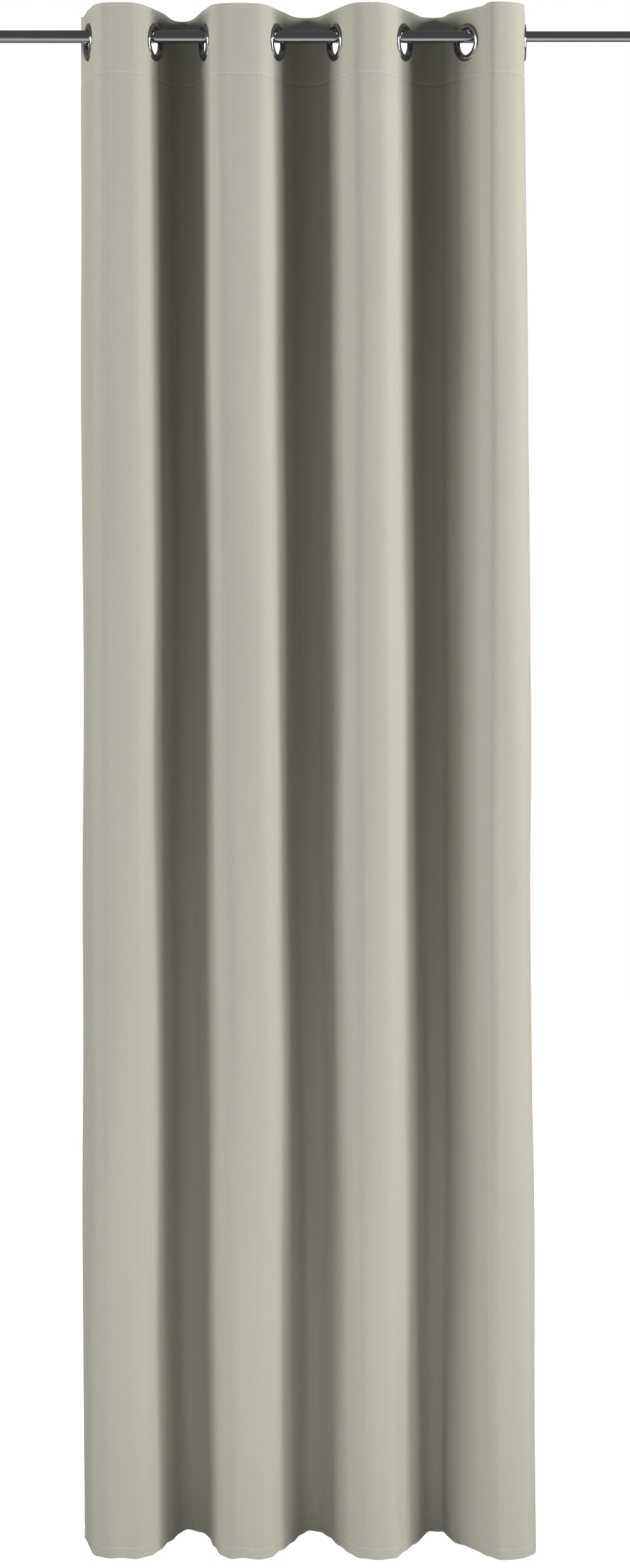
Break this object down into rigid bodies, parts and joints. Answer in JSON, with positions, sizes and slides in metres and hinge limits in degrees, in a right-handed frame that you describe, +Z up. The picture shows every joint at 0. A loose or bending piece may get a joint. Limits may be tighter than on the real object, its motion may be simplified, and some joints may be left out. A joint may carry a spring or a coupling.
{
  "type": "window curtain on a rod",
  "caption": "Full-length eyelet curtain in plain woven cloth, hung in deep even folds on a telescopic round metal rod between wall brackets.",
  "frame": {"origin": "on the wall plane, midway between the two wall plates, at the height of the rod's axis", "axes": "+X right along the rod as seen from the room, +Y into the wall, +Z up; the room is at -Y"},
  "size_m": [1.26, 0.2074, 2.45],
  "materials": {
    "curtain_cloth": "matt plain-woven dim-out cloth, greige",
    "eyelet_metal": "polished dark nickel",
    "rod_metal": "drawn steel, satin dark nickel",
    "bracket_metal": "satin dark nickel",
    "screw_metal": "zinc-plated steel"
  },
  "bodies": {
    "rod_and_brackets": {"rod_outer_tube": "rod_metal", "left_end_cap": "rod_metal", "left_wall_plate": "bracket_metal", "left_bracket_arm": "bracket_metal", "left_grub_screw": "screw_metal", "left_wall_screw_upper": "screw_metal", "left_wall_screw_lower": "screw_metal", "right_wall_plate": "bracket_metal", "right_bracket_arm": "bracket_metal", "right_grub_screw": "screw_metal", "right_wall_screw_upper": "screw_metal", "right_wall_screw_lower": "screw_metal"},
    "rod_inner": {"rod_inner_tube": "rod_metal", "right_end_cap": "rod_metal"},
    "left_clamp": {"left_clamp_screw": "bracket_metal"},
    "right_clamp": {"right_clamp_screw": "bracket_metal"},
    "eyelet_1": {"curtain_strip_1": "curtain_cloth", "eyelet_1_front_ring": "eyelet_metal", "eyelet_1_back_ring": "eyelet_metal"},
    "fold_1": {"curtain_fold_1": "curtain_cloth"},
    "eyelet_2": {"curtain_strip_2": "curtain_cloth", "eyelet_2_front_ring": "eyelet_metal", "eyelet_2_back_ring": "eyelet_metal"},
    "fold_2": {"curtain_fold_2": "curtain_cloth"},
    "eyelet_3": {"curtain_strip_3": "curtain_cloth", "eyelet_3_front_ring": "eyelet_metal", "eyelet_3_back_ring": "eyelet_metal"},
    "fold_3": {"curtain_fold_3": "curtain_cloth"},
    "eyelet_4": {"curtain_strip_4": "curtain_cloth", "eyelet_4_front_ring": "eyelet_metal", "eyelet_4_back_ring": "eyelet_metal"},
    "fold_4": {"curtain_fold_4": "curtain_cloth"},
    "eyelet_5": {"curtain_strip_5": "curtain_cloth", "eyelet_5_front_ring": "eyelet_metal", "eyelet_5_back_ring": "eyelet_metal"},
    "fold_5": {"curtain_fold_5": "curtain_cloth"},
    "eyelet_6": {"curtain_strip_6": "curtain_cloth", "eyelet_6_front_ring": "eyelet_metal", "eyelet_6_back_ring": "eyelet_metal"},
    "fold_6": {"curtain_fold_6": "curtain_cloth"},
    "eyelet_7": {"curtain_strip_7": "curtain_cloth", "eyelet_7_front_ring": "eyelet_metal", "eyelet_7_back_ring": "eyelet_metal"},
    "fold_7": {"curtain_fold_7": "curtain_cloth"},
    "eyelet_8": {"curtain_strip_8": "curtain_cloth", "eyelet_8_front_ring": "eyelet_metal", "eyelet_8_back_ring": "eyelet_metal"}
  },
  "joints": [
    {"name": "rod_extension", "type": "slide", "parent": "rod_and_brackets", "child": "rod_inner", "axis": [1, 0, 0], "range_m": [-0.025, 0.12]},
    {"name": "left_clamp_turn", "type": "hinge", "parent": "rod_and_brackets", "child": "left_clamp", "pos_m": [-0.56, -0.11, -0.018], "axis": [0, 0, 1], "continuous": true},
    {"name": "right_clamp_turn", "type": "hinge", "parent": "rod_and_brackets", "child": "right_clamp", "pos_m": [0.56, -0.11, -0.0165], "axis": [0, 0, 1], "continuous": true},
    {"name": "curtain_slide", "type": "slide", "parent": "rod_and_brackets", "child": "eyelet_1", "axis": [1, 0, 0], "range_m": [-0.165, 0.2]},
    {"name": "fold_1_gather", "type": "slide", "parent": "eyelet_1", "child": "fold_1", "axis": [-0.7629, -0.6465, 0], "range_m": [0, 0.02475]},
    {"name": "eyelet_2_gather", "type": "slide", "parent": "fold_1", "child": "eyelet_2", "axis": [-0.7629, 0.6465, 0], "range_m": [0, 0.02476]},
    {"name": "fold_2_gather", "type": "slide", "parent": "eyelet_2", "child": "fold_2", "axis": [-0.669, 0.7433, 0], "range_m": [0, 0.02154]},
    {"name": "eyelet_3_gather", "type": "slide", "parent": "fold_2", "child": "eyelet_3", "axis": [-0.669, -0.7433, 0], "range_m": [0, 0.02154]},
    {"name": "fold_3_gather", "type": "slide", "parent": "eyelet_3", "child": "fold_3", "axis": [-0.792, -0.6106, 0], "range_m": [0, 0.02622]},
    {"name": "eyelet_4_gather", "type": "slide", "parent": "fold_3", "child": "eyelet_4", "axis": [-0.792, 0.6106, 0], "range_m": [0, 0.02622]},
    {"name": "fold_4_gather", "type": "slide", "parent": "eyelet_4", "child": "fold_4", "axis": [-0.7218, 0.6921, 0], "range_m": [0, 0.02313]},
    {"name": "eyelet_5_gather", "type": "slide", "parent": "fold_4", "child": "eyelet_5", "axis": [-0.7218, -0.6921, 0], "range_m": [0, 0.02313]},
    {"name": "fold_5_gather", "type": "slide", "parent": "eyelet_5", "child": "fold_5", "axis": [-0.7764, -0.6303, 0], "range_m": [0, 0.0254]},
    {"name": "eyelet_6_gather", "type": "slide", "parent": "fold_5", "child": "eyelet_6", "axis": [-0.7764, 0.6303, 0], "range_m": [0, 0.0254]},
    {"name": "fold_6_gather", "type": "slide", "parent": "eyelet_6", "child": "fold_6", "axis": [-0.7458, 0.6662, 0], "range_m": [0, 0.02403]},
    {"name": "eyelet_7_gather", "type": "slide", "parent": "fold_6", "child": "eyelet_7", "axis": [-0.7458, -0.6662, 0], "range_m": [0, 0.02403]},
    {"name": "fold_7_gather", "type": "slide", "parent": "eyelet_7", "child": "fold_7", "axis": [-0.7134, -0.7007, 0], "range_m": [0, 0.02284]},
    {"name": "eyelet_8_gather", "type": "slide", "parent": "fold_7", "child": "eyelet_8", "axis": [-0.7134, 0.7007, 0], "range_m": [0, 0.02284]}
  ],
  "couplings": [
    {"joint": "eyelet_2_gather", "follows": "fold_1_gather", "ratio": 1},
    {"joint": "fold_2_gather", "follows": "fold_1_gather", "ratio": 0.86975},
    {"joint": "eyelet_3_gather", "follows": "fold_1_gather", "ratio": 0.86975},
    {"joint": "fold_3_gather", "follows": "fold_1_gather", "ratio": 1.0588},
    {"joint": "eyelet_4_gather", "follows": "fold_1_gather", "ratio": 1.0588},
    {"joint": "fold_4_gather", "follows": "fold_1_gather", "ratio": 0.93407},
    {"joint": "eyelet_5_gather", "follows": "fold_1_gather", "ratio": 0.93407},
    {"joint": "fold_5_gather", "follows": "fold_1_gather", "ratio": 1.0258},
    {"joint": "eyelet_6_gather", "follows": "fold_1_gather", "ratio": 1.0258},
    {"joint": "fold_6_gather", "follows": "fold_1_gather", "ratio": 0.97037},
    {"joint": "eyelet_7_gather", "follows": "fold_1_gather", "ratio": 0.97037},
    {"joint": "fold_7_gather", "follows": "fold_1_gather", "ratio": 0.92259},
    {"joint": "eyelet_8_gather", "follows": "fold_1_gather", "ratio": 0.92259}
  ]
}
